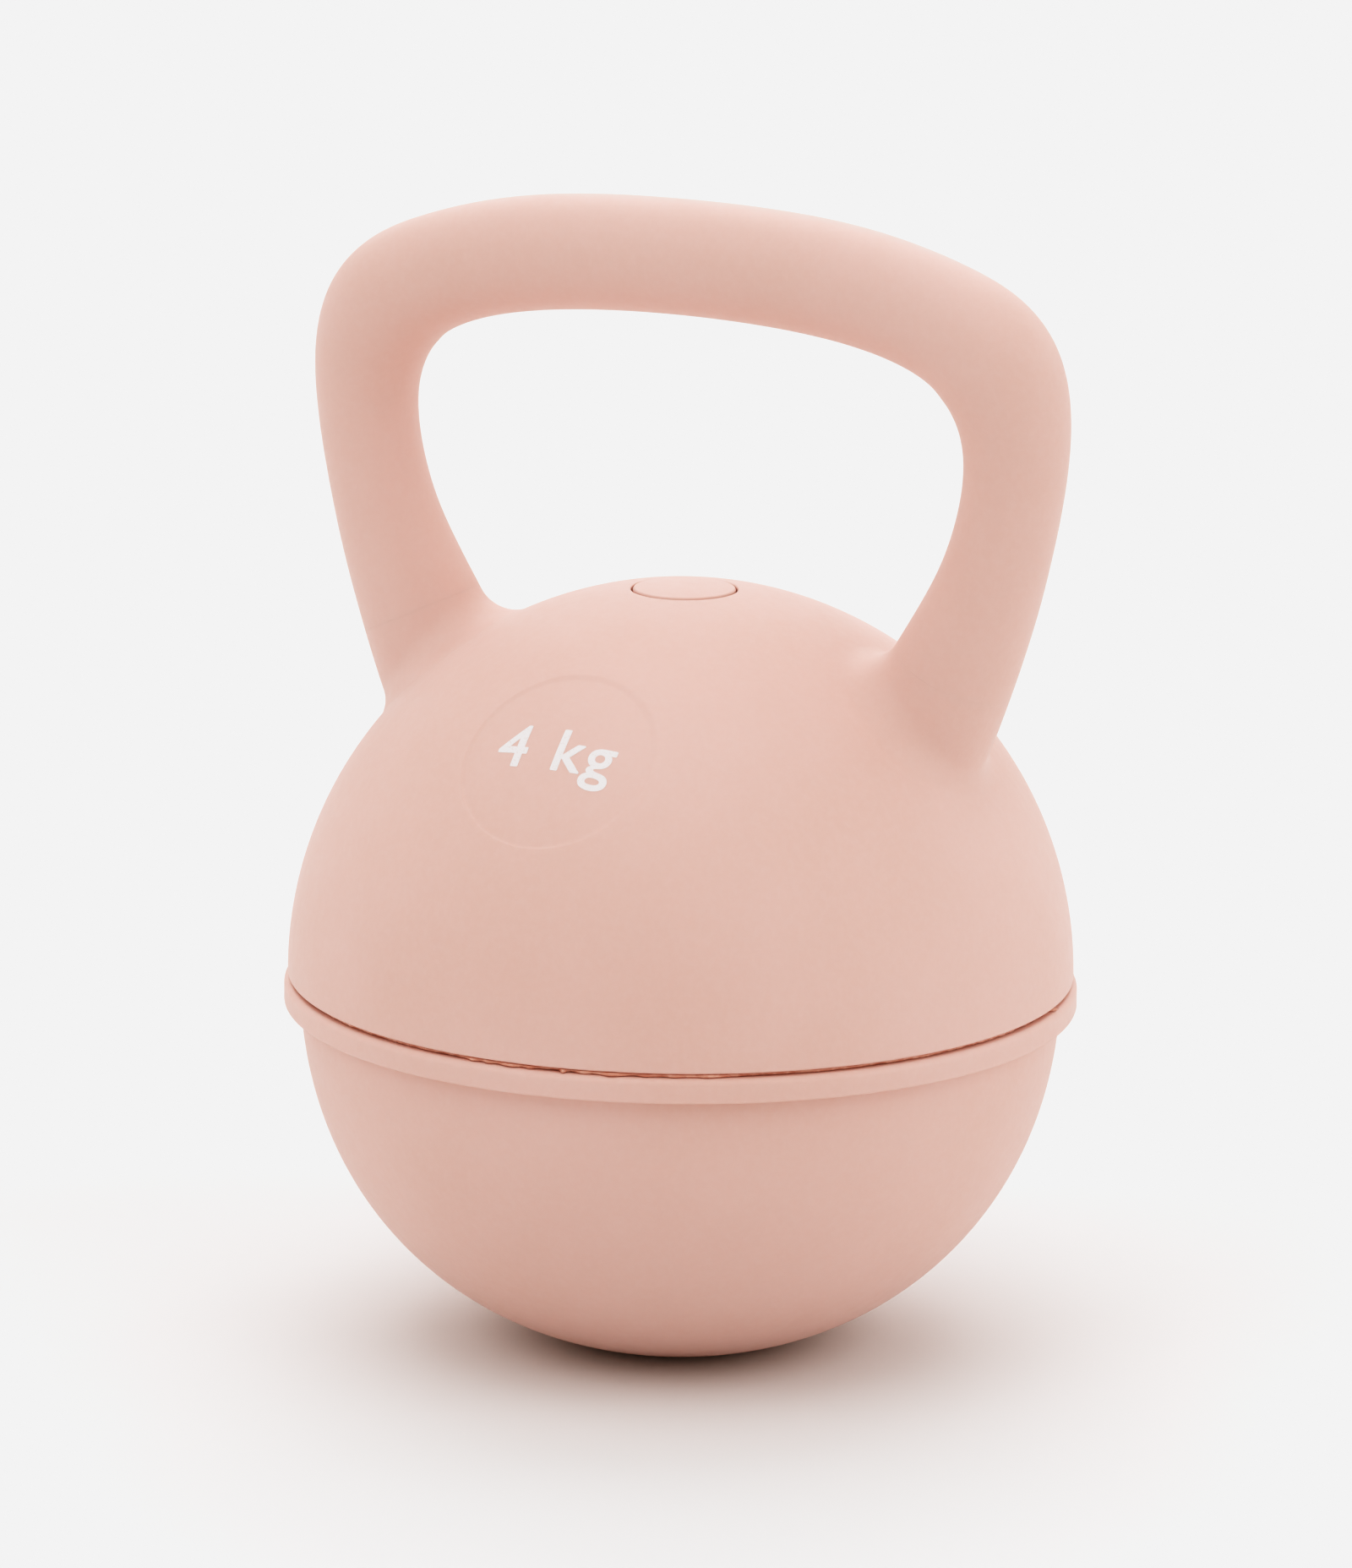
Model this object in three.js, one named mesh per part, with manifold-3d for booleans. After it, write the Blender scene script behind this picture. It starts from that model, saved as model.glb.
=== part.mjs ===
// A soft kettlebell: a PVC dome glued to a PVC bowl and part-filled with iron-sand, with a handle of soft PVC
// on a steel core. Millimetres, +Z up. The origin is the centre of the base, and the handle's width is along X.
import * as THREE from "three";
import { mergeVertices } from "three/addons/utils/BufferGeometryUtils.js";
import Module from "manifold-3d";

const wasm = await Module();
wasm.setup();

// ---------------------------------------------------------------- Driving dimensions

const GAP = 0.3; // between two pieces that touch
const WALL = 3.5; // thickness of both PVC shells

const CENTRE_Z = 80.5; // height of the ball's centre
const DOME_RADIUS = 84.6;
const DOME_EDGE_Z = CENTRE_Z - 0.2;
const DOME_TOP_Z = CENTRE_Z + DOME_RADIUS;
const DOME_EDGE_ROUND = 0.6;

const SEAM_GAP = 0.9; // the open joint between the dome's edge and the bowl's collar
const COLLAR_RADIUS = 85.4;
const COLLAR_HEIGHT = 5.3;
const COLLAR_ROUND = 1.6;
const COLLAR_LOWER_ROUND = 0.7;
const COLLAR_TOP_Z = DOME_EDGE_Z - SEAM_GAP;
const COLLAR_TUCK = 0.1; // how far the bowl's outline is drawn in under the collar

// The bowl's outline is a superellipse, a little flatter underneath than a sphere.
const BOWL_CENTRE_Z = CENTRE_Z - 0.8;
const BOWL_RADIUS = 82;
const BOWL_DEPTH = 82;
const BOWL_POWER = 2.12;

const TONGUE_RADIUS = 80.6; // the bowl's rim goes up inside the dome
const TONGUE_TOP_Z = CENTRE_Z + 4.5;
const BEAD_OUTER_RADIUS = 83.4;
const BEAD_CLEARANCE = 0.12;
const FILL_LEVEL_Z = CENTRE_Z + 11;

const PAD_RADIUS = 21.4; // the recessed pad for the weight mark
const PAD_DEPTH = 0.5;
const PAD_ELEVATION = 45; // degrees, on the side that faces -Y
const CUTTER_MARGIN = 2; // how far a cutter stands out of what it cuts

const SEAT_RADIUS = 11.4; // the filler plug's seat in the top of the dome
const SEAT_DEPTH = 2.4;
const HOLE_RADIUS = 7.3;
const HOLE_BOSS_RADIUS = 13.5;
const HOLE_BOSS_DEPTH = 8;
const PLUG_CAP_RADIUS = 11;
const PLUG_CAP_ROUND = 0.5;
const PLUG_PROUD = 0.15;
const PLUG_STEM_RADIUS = 6.4;
const PLUG_STEM_LENGTH = 11;
const PLUG_RIB_RADIUS = 7;
const PLUG_RIB_COUNT = 3;
const PLUG_RIB_PITCH = 2.6;
const PLUG_RIB_HEIGHT = 1.4;
const PLUG_RIB_RISE = 1; // from a rib's lower edge up to its widest point
const PLUG_STEM_CHAMFER = 0.6;
const PLUG_BORE_RADIUS = 4.2;
const PLUG_BORE_ROOF = 1; // from the bore's end up to the cap's underside

const CORE_RADIUS = 8; // the steel tube inside the handle
const CORE_WALL = 1.5;
const CORE_STICK_OUT = 5; // past the boss on the inside of the dome
const SOCKET_END = 28.4; // from a core end, along the centre line, to the joint of socket and skin
const WASHER_RADIUS = 13;
const WASHER_THICKNESS = 1;
const WASHER_DISH = 1;
const WASHER_DISH_WIDTH = 2.5;
const WASHER_SLOTS = 6;
const WASHER_SLOT_WIDTH = 1.2;
const WASHER_SLOT_DEPTH = 2.3;
const CORE_PLUG_FLANGE = 1.5;
const CORE_PLUG_LENGTH = 8;
const CORE_PLUG_TIP_INSET = 1.2;
const CORE_PLUG_TIP_LENGTH = 2;

// The handle's right half, from the middle of the grip down to the core's end inside the dome: control points
// of a uniform cubic B-spline, as distance from the middle, height above the ball's centre, and radius.
const HANDLE_POINTS = [
  { x: 0, height: 155.9, radius: 12.2 },
  { x: 36.9, height: 154.2, radius: 12.4 },
  { x: 60.7, height: 147.7, radius: 12.1 },
  { x: 73.9, height: 139.6, radius: 14 },
  { x: 78.6, height: 121.2, radius: 10.6 },
  { x: 74, height: 98, radius: 10.6 },
  { x: 68.3, height: 82.7, radius: 12.2 },
  { x: 57.3, height: 60, radius: 14.9 },
  { x: 51.1, height: 47.2, radius: 14.9 },
];

const ROUND_SEGMENTS = 44;
const PAD_SEGMENTS = 40;
const PLUG_SEGMENTS = 32;
const WASHER_SEGMENTS = 30;
const CORE_PLUG_SEGMENTS = 20;
const SKIN_STEPS = 42; // along the whole handle
const SKIN_SIDES = 20;
const CORE_STEPS = 30;
const CORE_HALF_SIDES = 7; // half of the core's number of sides

// ---------------------------------------------------------------- Materials

const PVC_COLOUR = "#e6bfb2";
const pvc = new THREE.MeshStandardMaterial({ color: PVC_COLOUR, roughness: 0.62, metalness: 0 });
const glue = new THREE.MeshStandardMaterial({ color: "#c98d7c", roughness: 0.25, metalness: 0 });
const steel = new THREE.MeshStandardMaterial({ color: "#9a9ea3", roughness: 0.4, metalness: 1 });
const stopper = new THREE.MeshStandardMaterial({ color: "#e9e6e0", roughness: 0.5, metalness: 0 });
const ironSand = new THREE.MeshStandardMaterial({ color: "#4a4745", roughness: 0.9, metalness: 0.2 });

// ---------------------------------------------------------------- Geometry helpers

const point = (x, z) => new THREE.Vector2(x, z);
const radians = THREE.MathUtils.degToRad;

// Points on an arc in the profile plane, between two angles in degrees from the +X direction.
function arc(centreX, centreZ, radius, fromAngle, toAngle, steps) {
  return Array.from({ length: steps + 1 }, (_, i) => {
    const angle = radians(fromAngle + ((toAngle - fromAngle) * i) / steps);
    return point(centreX + radius * Math.cos(angle), centreZ + radius * Math.sin(angle));
  });
}

// A solid of revolution about the Z axis.
function turned(profile, segments = ROUND_SEGMENTS) {
  return new THREE.LatheGeometry(profile, segments).rotateX(Math.PI / 2);
}

// A ring-shaped solid of revolution, whose profile closes on itself.
function turnedRing(profile, segments = ROUND_SEGMENTS) {
  return turned([...profile, profile[0].clone()], segments);
}

function solidOf(geometry) {
  const bare = geometry.clone();
  bare.deleteAttribute("normal");
  bare.deleteAttribute("uv");
  const merged = mergeVertices(bare, 1e-3);
  const mesh = new wasm.Mesh({
    numProp: 3,
    vertProperties: merged.attributes.position.array,
    triVerts: new Uint32Array(merged.index.array),
  });
  return new wasm.Manifold(mesh);
}

function geometryOf(solid) {
  const mesh = solid.getMesh();
  const geometry = new THREE.BufferGeometry();
  geometry.setAttribute("position", new THREE.BufferAttribute(mesh.vertProperties, 3));
  geometry.setIndex(new THREE.BufferAttribute(mesh.triVerts, 1));
  geometry.computeVertexNormals();
  return geometry;
}

function piece(name, geometry, material) {
  const mesh = new THREE.Mesh(geometry, material);
  mesh.name = name;
  return mesh;
}

// ---------------------------------------------------------------- Handle

// The handle's centre line in the XZ plane, from the left core end to the right one.
class HandleCurve extends THREE.Curve {
  constructor(halfPoints) {
    super();
    const left = halfPoints.slice(1).reverse().map((p) => ({ ...p, x: -p.x }));
    const points = [...left, ...halfPoints];
    const beyond = (last, previous) => ({
      x: 2 * last.x - previous.x,
      height: 2 * last.height - previous.height,
      radius: 2 * last.radius - previous.radius,
    });
    this.points = [beyond(points[0], points[1]), ...points, beyond(points.at(-1), points.at(-2))];
  }

  // The B-spline's value at t, for one of the control points' keys.
  blend(t, key) {
    const spans = this.points.length - 3;
    const span = Math.min(Math.floor(t * spans), spans - 1);
    const u = t * spans - span;
    const weights = [(1 - u) ** 3, 3 * u ** 3 - 6 * u ** 2 + 4, -3 * u ** 3 + 3 * u ** 2 + 3 * u + 1, u ** 3];
    return weights.reduce((sum, weight, i) => sum + (weight / 6) * this.points[span + i][key], 0);
  }

  getPoint(t, target = new THREE.Vector3()) {
    return target.set(this.blend(t, "x"), 0, CENTRE_Z + this.blend(t, "height"));
  }

  radiusAt(t) {
    return this.blend(t, "radius");
  }
}

const handleCurve = new HandleCurve(HANDLE_POINTS);
const handleLength = handleCurve.getLength();

// The outside of a stretch of the handle, between two distances along its centre line, closed by flat ends.
function handleStretch(from, to) {
  const steps = Math.ceil((SKIN_STEPS * (to - from)) / handleLength);
  const positions = [];
  const indices = [];
  for (let i = 0; i <= steps; i++) {
    const along = (from + ((to - from) * i) / steps) / handleLength;
    const t = handleCurve.getUtoTmapping(along);
    const centre = handleCurve.getPoint(t);
    const tangent = handleCurve.getTangent(t);
    const radius = handleCurve.radiusAt(t);
    for (let j = 0; j < SKIN_SIDES; j++) {
      const angle = (2 * Math.PI * j) / SKIN_SIDES;
      const inPlane = radius * Math.cos(angle);
      const acrossPlane = radius * Math.sin(angle);
      positions.push(centre.x - tangent.z * inPlane, acrossPlane, centre.z + tangent.x * inPlane);
    }
  }
  for (let i = 0; i < steps; i++) {
    for (let j = 0; j < SKIN_SIDES; j++) {
      const next = (j + 1) % SKIN_SIDES;
      const [a, b] = [i * SKIN_SIDES + j, i * SKIN_SIDES + next];
      const [c, d] = [a + SKIN_SIDES, b + SKIN_SIDES];
      indices.push(a, c, b, b, c, d);
    }
  }
  const lastRing = steps * SKIN_SIDES;
  for (let j = 1; j < SKIN_SIDES - 1; j++) {
    indices.push(0, j, j + 1);
    indices.push(lastRing, lastRing + j + 1, lastRing + j);
  }
  const geometry = new THREE.BufferGeometry();
  geometry.setAttribute("position", new THREE.Float32BufferAttribute(positions, 3));
  geometry.setIndex(indices);
  return geometry;
}

// A round bar, or a tube if it has a bore, along the whole of the handle's centre line.
function alongHandle(radius, boreRadius = 0) {
  const section = new THREE.Shape().absarc(0, 0, radius, 0, 2 * Math.PI);
  if (boreRadius > 0) {
    section.holes.push(new THREE.Path().absarc(0, 0, boreRadius, 0, 2 * Math.PI));
  }
  return new THREE.ExtrudeGeometry(section, {
    steps: CORE_STEPS,
    curveSegments: CORE_HALF_SIDES,
    extrudePath: handleCurve,
  });
}

// ---------------------------------------------------------------- Shells

// Half of a section through the dome: its edge, outer face, plug seat, filler hole, hole boss and inner face.
function domeProfile() {
  const innerRadius = DOME_RADIUS - WALL;
  const edgeDrop = DOME_EDGE_Z - CENTRE_Z;
  const angleAt = (radius, r) => THREE.MathUtils.radToDeg(Math.acos(r / radius));
  const [roundX, roundZ] = [DOME_RADIUS - DOME_EDGE_ROUND, DOME_EDGE_Z + DOME_EDGE_ROUND];
  const edgeRound = arc(roundX, roundZ, DOME_EDGE_ROUND, -90, 0, 3);
  const firstAngle = THREE.MathUtils.radToDeg(Math.asin((edgeDrop + 2 * DOME_EDGE_ROUND) / DOME_RADIUS));
  const outer = arc(0, CENTRE_Z, DOME_RADIUS, firstAngle, angleAt(DOME_RADIUS, SEAT_RADIUS), 13);
  const inner = arc(0, CENTRE_Z, innerRadius, angleAt(innerRadius, HOLE_BOSS_RADIUS), firstAngle, 9);
  return [
    ...edgeRound,
    ...outer,
    point(SEAT_RADIUS, DOME_TOP_Z - SEAT_DEPTH),
    point(HOLE_RADIUS, DOME_TOP_Z - SEAT_DEPTH),
    point(HOLE_RADIUS, DOME_TOP_Z - HOLE_BOSS_DEPTH),
    point(HOLE_BOSS_RADIUS, DOME_TOP_Z - HOLE_BOSS_DEPTH),
    ...inner,
    point(innerRadius, DOME_EDGE_Z),
  ];
}

// What the pad's recess takes away: a thick disc whose lower face follows the dome.
function padCutter() {
  const floorRadius = DOME_RADIUS - PAD_DEPTH;
  const edgeAngle = THREE.MathUtils.radToDeg(Math.acos(PAD_RADIUS / floorRadius));
  const cutterTop = DOME_RADIUS + CUTTER_MARGIN;
  const recessFloor = arc(0, 0, floorRadius, 90, edgeAngle, 4);
  const profile = [...recessFloor, point(PAD_RADIUS, cutterTop), point(0, cutterTop)];
  return turned(profile, PAD_SEGMENTS)
    .rotateX(radians(90 - PAD_ELEVATION))
    .translate(0, 0, CENTRE_Z);
}

// The dome, with a socket for each end of the handle: a boss inside and a short flared stub outside.
function upperShell() {
  const solid = solidOf(turnedRing(domeProfile()))
    .add(solidOf(handleStretch(CORE_STICK_OUT, SOCKET_END)))
    .add(solidOf(handleStretch(handleLength - SOCKET_END, handleLength - CORE_STICK_OUT)))
    .subtract(solidOf(alongHandle(CORE_RADIUS + GAP)))
    .subtract(solidOf(padCutter()));
  return piece("upper_shell", geometryOf(solid), pvc);
}

// The soft skin of the grip and legs, from one socket to the other.
function handleSkin() {
  const outside = solidOf(handleStretch(SOCKET_END + GAP, handleLength - SOCKET_END - GAP));
  const solid = outside.subtract(solidOf(alongHandle(CORE_RADIUS + GAP)));
  return piece("handle_skin", geometryOf(solid), pvc);
}

// Points on a superellipse below the bowl's centre, from one height up to the centre, inset from the outside.
function bowlOutline(inset, bottomZ, steps) {
  const radius = BOWL_RADIUS - inset;
  const depth = BOWL_DEPTH - inset;
  const exponent = 2 / BOWL_POWER;
  const firstAngle = Math.asin(((BOWL_CENTRE_Z - bottomZ) / depth) ** (1 / exponent));
  return Array.from({ length: steps + 1 }, (_, i) => {
    const angle = firstAngle * (1 - i / steps);
    return point(radius * Math.cos(angle) ** exponent, BOWL_CENTRE_Z - depth * Math.sin(angle) ** exponent);
  });
}

function lowerShell() {
  const collarBottomZ = COLLAR_TOP_Z - COLLAR_HEIGHT;
  const outer = bowlOutline(0, 0, 12).filter((p) => p.y < collarBottomZ - COLLAR_LOWER_ROUND);
  const inner = bowlOutline(WALL, WALL, 9).reverse();
  const lowerRoundX = COLLAR_RADIUS - COLLAR_LOWER_ROUND;
  const upperRoundX = COLLAR_RADIUS - COLLAR_ROUND;
  const profile = [
    point(0, 0),
    ...outer,
    point(BOWL_RADIUS - COLLAR_TUCK, collarBottomZ),
    ...arc(lowerRoundX, collarBottomZ + COLLAR_LOWER_ROUND, COLLAR_LOWER_ROUND, -90, 0, 3),
    ...arc(upperRoundX, COLLAR_TOP_Z - COLLAR_ROUND, COLLAR_ROUND, 0, 90, 4),
    point(TONGUE_RADIUS, COLLAR_TOP_Z),
    point(TONGUE_RADIUS, TONGUE_TOP_Z),
    point(BOWL_RADIUS - WALL, TONGUE_TOP_Z),
    ...inner,
    point(0, WALL),
  ];
  return piece("lower_shell", turned(profile), pvc);
}

function seamAdhesive() {
  const bottom = COLLAR_TOP_Z + BEAD_CLEARANCE;
  const top = DOME_EDGE_Z - BEAD_CLEARANCE;
  const inside = TONGUE_RADIUS + GAP;
  const bulge = (top - bottom) / 2;
  const face = arc(BEAD_OUTER_RADIUS - bulge, bottom + bulge, bulge, -90, 90, 4);
  return piece("seam_adhesive", turnedRing([point(inside, bottom), ...face, point(inside, top)]), glue);
}

// ---------------------------------------------------------------- Filler plug

function fillerPlug() {
  const capBottomZ = DOME_TOP_Z - SEAT_DEPTH + GAP;
  const stemBottomZ = capBottomZ - PLUG_STEM_LENGTH;
  const crownRadius = DOME_RADIUS + PLUG_PROUD;
  const roundX = PLUG_CAP_RADIUS - PLUG_CAP_ROUND;
  const crownEdgeAngle = THREE.MathUtils.radToDeg(Math.acos(roundX / crownRadius));
  const crownEdgeZ = CENTRE_Z + crownRadius * Math.sin(radians(crownEdgeAngle));
  const ribs = [];
  for (let i = 0; i < PLUG_RIB_COUNT; i++) {
    const ribZ = stemBottomZ + PLUG_RIB_RISE + i * PLUG_RIB_PITCH;
    ribs.push(point(PLUG_STEM_RADIUS, ribZ));
    ribs.push(point(PLUG_RIB_RADIUS, ribZ + PLUG_RIB_RISE));
    ribs.push(point(PLUG_STEM_RADIUS, ribZ + PLUG_RIB_HEIGHT));
  }
  const profile = [
    point(0, capBottomZ - PLUG_BORE_ROOF),
    point(PLUG_BORE_RADIUS, capBottomZ - PLUG_BORE_ROOF),
    point(PLUG_BORE_RADIUS, stemBottomZ),
    point(PLUG_STEM_RADIUS - PLUG_STEM_CHAMFER, stemBottomZ),
    ...ribs,
    point(PLUG_STEM_RADIUS, capBottomZ),
    point(PLUG_CAP_RADIUS, capBottomZ),
    ...arc(roundX, crownEdgeZ - PLUG_CAP_ROUND, PLUG_CAP_ROUND, 0, 90, 3),
    ...arc(0, CENTRE_Z, crownRadius, crownEdgeAngle, 90, 3).slice(1),
  ];
  return piece("filler_plug", turned(profile, PLUG_SEGMENTS), pvc);
}

// ---------------------------------------------------------------- Inside the ball

function ironFill() {
  const inset = WALL + GAP;
  const wall = bowlOutline(inset, inset, 9);
  const top = [point(BOWL_RADIUS - inset, FILL_LEVEL_Z), point(0, FILL_LEVEL_Z)];
  return piece("iron_fill", turned([point(0, inset), ...wall, ...top]), ironSand);
}

// A dished push-on washer round the core, gripping it with the teeth between its slots.
function retainingWasher() {
  const inner = CORE_RADIUS + GAP;
  const dishEdge = inner + WASHER_DISH_WIDTH;
  const profile = [
    point(inner, WASHER_DISH),
    point(dishEdge, 0),
    point(WASHER_RADIUS, 0),
    point(WASHER_RADIUS, WASHER_THICKNESS),
    point(dishEdge, WASHER_THICKNESS),
    point(inner, WASHER_DISH + WASHER_THICKNESS),
  ];
  const slotHeight = 2 * (WASHER_DISH + WASHER_THICKNESS + CUTTER_MARGIN);
  let washer = solidOf(turnedRing(profile, WASHER_SEGMENTS));
  for (let i = 0; i < WASHER_SLOTS; i++) {
    const slot = new THREE.BoxGeometry(2 * WASHER_SLOT_DEPTH, WASHER_SLOT_WIDTH, slotHeight)
      .translate(inner, 0, 0)
      .rotateZ((2 * Math.PI * i) / WASHER_SLOTS);
    washer = washer.subtract(solidOf(slot));
  }
  return geometryOf(washer);
}

// A tapered stopper in the core's bore, under a flange.
function corePlug() {
  const bore = CORE_RADIUS - CORE_WALL;
  const profile = [
    point(0, -CORE_PLUG_LENGTH),
    point(bore - CORE_PLUG_TIP_INSET, -CORE_PLUG_LENGTH),
    point(bore - GAP, -CORE_PLUG_LENGTH + CORE_PLUG_TIP_LENGTH),
    point(bore - GAP, 0),
    point(CORE_RADIUS, 0),
    point(CORE_RADIUS, CORE_PLUG_FLANGE),
    point(0, CORE_PLUG_FLANGE),
  ];
  return turned(profile, CORE_PLUG_SEGMENTS);
}

// What holds one end of the core under the dome. The group's +Z points out of the core's end.
function coreEnd(side, t, direction) {
  const end = handleCurve.getPoint(t);
  const outwards = handleCurve.getTangent(t).multiplyScalar(direction);
  const washer = piece(`core_washer_${side}`, retainingWasher(), steel);
  washer.position.z = GAP - CORE_STICK_OUT;
  const plug = piece(`core_plug_${side}`, corePlug(), stopper);
  plug.position.z = GAP;
  const group = new THREE.Group();
  group.position.copy(end);
  group.quaternion.setFromUnitVectors(new THREE.Vector3(0, 0, 1), outwards);
  group.add(washer, plug);
  return group;
}

// ---------------------------------------------------------------- Assembly

const kettlebell = new THREE.Group();
kettlebell.name = "kettlebell";
kettlebell.add(
  upperShell(),
  handleSkin(),
  lowerShell(),
  seamAdhesive(),
  fillerPlug(),
  ironFill(),
  piece("handle_core", alongHandle(CORE_RADIUS, CORE_RADIUS - CORE_WALL), steel),
  coreEnd("left", 0, -1),
  coreEnd("right", 1, 1),
);

export default kettlebell;
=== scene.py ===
"""A soft 4 kg kettlebell on a pale studio floor.

A PVC dome is glued to a PVC bowl. The dome has sockets for the soft handle, a recessed pad with the weight
mark and a filler plug in its top, and the handle holds a steel core. Lengths are in metres, +Z up, and the
handle's width runs along X.
"""

import math

import bmesh
import bpy
import numpy as np
from mathutils import Matrix, Vector


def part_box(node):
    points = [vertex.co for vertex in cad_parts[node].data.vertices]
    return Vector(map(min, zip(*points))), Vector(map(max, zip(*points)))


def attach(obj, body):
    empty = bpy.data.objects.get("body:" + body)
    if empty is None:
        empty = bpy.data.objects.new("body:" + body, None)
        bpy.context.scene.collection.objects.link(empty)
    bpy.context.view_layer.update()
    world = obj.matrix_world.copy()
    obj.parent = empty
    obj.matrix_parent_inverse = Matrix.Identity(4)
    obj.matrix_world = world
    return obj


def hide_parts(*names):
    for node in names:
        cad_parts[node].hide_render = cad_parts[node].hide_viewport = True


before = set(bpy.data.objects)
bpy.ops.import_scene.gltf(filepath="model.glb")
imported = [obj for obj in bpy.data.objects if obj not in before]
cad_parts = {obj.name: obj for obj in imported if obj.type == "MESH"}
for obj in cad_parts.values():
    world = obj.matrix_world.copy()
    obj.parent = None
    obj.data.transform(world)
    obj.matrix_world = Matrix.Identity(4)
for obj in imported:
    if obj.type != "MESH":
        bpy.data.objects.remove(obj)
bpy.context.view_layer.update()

# ---------------------------------------------------------------- Dimensions

MM = 0.001
FULL_TURN = 2 * math.pi

dome_low, dome_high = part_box("upper_shell")
_, bowl_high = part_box("lower_shell")
plug_low, plug_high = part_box("filler_plug")

GAP = 0.3 * MM
WALL = 3.5 * MM

DOME_RADIUS = dome_high.y
DOME_EDGE_Z = dome_low.z
CENTRE_Z = DOME_EDGE_Z + 0.2 * MM
CENTRE = np.array([0, 0, CENTRE_Z])
DOME_EDGE_ROUND = 0.5 * MM
DOME_EDGE_CHAMFER = 0.4 * MM
DOME_INNER_RADIUS = DOME_RADIUS - WALL
DOME_TOP_Z = CENTRE_Z + DOME_RADIUS
NEAR_DOME_RADIUS = DOME_RADIUS + 1 * MM  # points inside this belong to the dome, not the handle

COLLAR_RADIUS = bowl_high.y
COLLAR_TOP_Z = DOME_EDGE_Z - 0.9 * MM
COLLAR_HEIGHT = 5.3 * MM
COLLAR_ROUND = 1.6 * MM
COLLAR_LOWER_ROUND = 0.5 * MM
COLLAR_CLEARANCE = 0.5 * MM  # the bowl's curve ends this far below the collar
COLLAR_INSET = 0.1 * MM
BOWL_CENTRE_Z = CENTRE_Z - 0.8 * MM
BOWL_RADIUS = 82 * MM
BOWL_DEPTH = 82 * MM
BOWL_POWER = 2.12
BASE_RING_INSET = 1.6 * MM
TONGUE_RADIUS = 80.6 * MM
TONGUE_TOP_Z = bowl_high.z
TONGUE_FOOT_CHAMFER = 0.3 * MM
TONGUE_TOP_CHAMFER = 0.5 * MM
BEAD_RADIUS = 83.5 * MM
BEAD_CLEARANCE = 0.05 * MM
BEAD_RIPPLE = 0.12 * MM

PAD_RADIUS = 21.4 * MM
PAD_DEPTH = 0.32 * MM
PAD_ELEVATION = math.radians(45)
PAD_AXIS = np.array([0, -math.cos(PAD_ELEVATION), math.sin(PAD_ELEVATION)])
PAD_UP = np.array([0, math.sin(PAD_ELEVATION), math.cos(PAD_ELEVATION)])
PAD_SOFT_WAY = PAD_UP + (0.8, 0, 0)  # towards the upper right, where the rim is softest
PAD_SOFT_SPAN = 1.3
PAD_CRISP_RIM_MM = 0.5
PAD_SOFT_RIM_EXTRA_MM = 1.6
PAD_RIM_REACH = 2.2 * MM  # the mesh is finer within this distance of the rim

SEAT_RADIUS = 11.4 * MM
SEAT_MOUTH_ROUND = 0.35 * MM
SEAT_DEPTH = 2.4 * MM
SEAT_CHAMFER = 0.3 * MM
MOUTH_REACH = 16 * MM  # the trim at the seat's mouth stays within this distance of the axis
HOLE_RADIUS = 7.3 * MM
HOLE_BOSS_RADIUS = 13.5 * MM
HOLE_BOSS_DEPTH = 8 * MM
PLUG_CAP_RADIUS = plug_high.y
PLUG_CAP_ROUND = 0.6 * MM
PLUG_CAP_CHAMFER = 0.3 * MM
PLUG_CROWN_RADIUS = plug_high.z - CENTRE_Z
PLUG_STEM_RADIUS = 6.4 * MM
PLUG_STEM_CHAMFER = 0.6 * MM
PLUG_NECK_CHAMFER = 0.4 * MM
PLUG_RIBS = 3
PLUG_RIB_RADIUS = 7 * MM
PLUG_RIB_PITCH = 2.6 * MM
PLUG_RIB_HEIGHT = 1.4 * MM
PLUG_RIB_ROUND = 0.25 * MM
PLUG_RIB_ROUND_UP = 0.95 * MM  # from a rib's foot to the centre of its rounded crest
PLUG_FIRST_RIB = 1 * MM
PLUG_BORE_RADIUS = 4.2 * MM
PLUG_BORE_ROOF = 1 * MM
PLUG_BORE_SHOULDER = 1.4 * MM
PLUG_BORE_CHAMFER = 0.4 * MM

CORE_RADIUS = 8 * MM
CORE_STICK_OUT = 5 * MM

# The handle's right half, from the middle of the grip to the core's end inside the dome: control points of a
# uniform cubic B-spline, as distance from the middle, height above the ball's centre, and radius. The first
# seven are rounded from a least-squares fit to the handle's outlines in the photo.
HANDLE_POINTS = MM * np.array(
    [
        (0, 155.9, 12.2),
        (36.9, 154.2, 12.4),
        (60.7, 147.7, 12.1),
        (73.9, 139.6, 14),
        (78.6, 121.2, 10.6),
        (74, 98, 10.6),
        (68.3, 82.7, 12.2),
        (57.3, 60, 14.9),
        (51.1, 47.2, 14.9),
    ]
)
SOCKET_END = 28.4 * MM  # from a core end, along the centre line, to the joint of socket and skin
JOINT_GAP = 0.01 * MM
FILLET_INSIDE = 9.5 * MM  # the round root of a leg on the side towards the other leg
FILLET_SIDE = 6.5 * MM
FILLET_OUTSIDE = 3 * MM
BOSS_SETBACK = 4 * MM  # a socket's inner boss ends this far short of the joint
BLOCK_REACH = 0.2  # half the width of the block that cuts at the joints
BLOCK_TOP = 0.4
BLOCK_HALF_DEPTH = 0.05

COARSE_VOXEL = 2.4 * MM
FINE_VOXEL = 1.1 * MM
LEAST_STEEPNESS = 0.3
CURVE_SAMPLES = 140
POINTS_AT_ONCE = 20000
ON_AXIS = 1e-7  # a profile point nearer the axis than this is one vertex
RING_TOLERANCE = 0.05 * MM


# ---------------------------------------------------------------- Mesh helpers


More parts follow.
